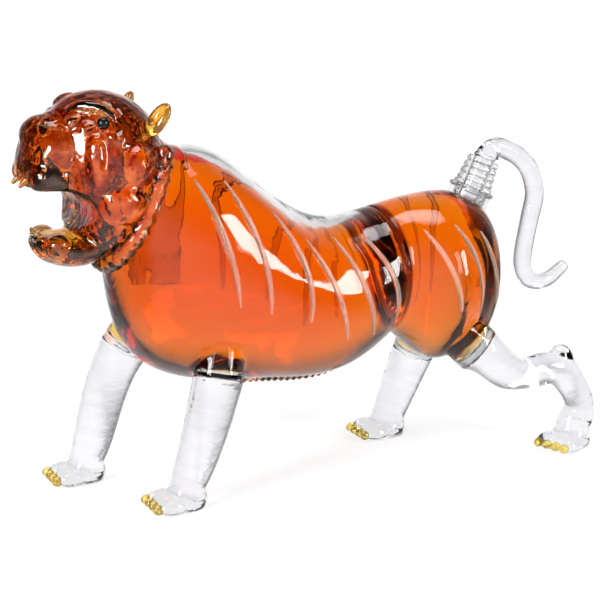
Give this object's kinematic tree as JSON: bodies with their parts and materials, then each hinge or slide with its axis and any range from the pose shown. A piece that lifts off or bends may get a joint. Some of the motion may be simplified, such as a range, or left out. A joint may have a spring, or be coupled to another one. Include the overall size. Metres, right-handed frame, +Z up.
{
  "type": "figural liquor decanter",
  "caption": "Blown glass liquor decanter in the form of a roaring tiger, with rod legs, a filling neck on the rump and a lift-out stopper whose handle is the curved tail.",
  "frame": {"origin": "middle of the overall box, on the table that the paws stand on", "axes": "+X runs from the nose to the tail, +Y to the animal's right flank and +Z up"},
  "size_m": [0.3132, 0.092, 0.2057],
  "materials": {
    "clear_glass": "fire-polished clear",
    "amber_glass": "amber coloured glass",
    "black_glass": "opaque black bead",
    "silicone": "clear ribbed silicone",
    "liquor": "amber liquor seen through the wall"
  },
  "bodies": {
    "vessel": {"front_body": "clear_glass", "haunches": "clear_glass", "head_shell": "clear_glass", "muzzle": "clear_glass", "lower_jaw": "clear_glass", "nose": "clear_glass", "left_lip": "clear_glass", "right_lip": "clear_glass", "left_brow": "clear_glass", "right_brow": "clear_glass", "left_shoulder_trails": "clear_glass", "left_flank_trails": "clear_glass", "left_haunch_trails": "clear_glass", "right_shoulder_trails": "clear_glass", "right_flank_trails": "clear_glass", "right_haunch_trails": "clear_glass", "cheek_ruff": "clear_glass", "belly_cane": "clear_glass", "neck_foot": "clear_glass", "neck_collar": "clear_glass", "front_left_leg": "clear_glass", "front_right_leg": "clear_glass", "hind_left_leg": "clear_glass", "hind_right_leg": "clear_glass", "front_left_paw": "clear_glass", "front_right_paw": "clear_glass", "hind_left_paw": "clear_glass", "hind_right_paw": "clear_glass", "upper_fangs": "amber_glass", "lower_fangs": "amber_glass", "left_ear": "amber_glass", "right_ear": "amber_glass", "front_left_claws": "amber_glass", "front_right_claws": "amber_glass", "hind_left_claws": "amber_glass", "hind_right_claws": "amber_glass", "left_eye": "black_glass", "right_eye": "black_glass"},
    "stopper_sleeve": {"stopper_seal": "silicone"},
    "tail_stopper": {"stopper_plug": "clear_glass", "tail": "clear_glass"}
  },
  "joints": [
    {"name": "stopper_pull", "type": "slide", "parent": "vessel", "child": "stopper_sleeve", "axis": [0.4226, 0, 0.9063], "range_m": [0, 0.04]},
    {"name": "stopper_turn", "type": "hinge", "parent": "stopper_sleeve", "child": "tail_stopper", "pos_m": [0.0918, 0, 0.13753], "axis": [0.4226, 0, 0.9063], "range_deg": [-120, 120]}
  ]
}
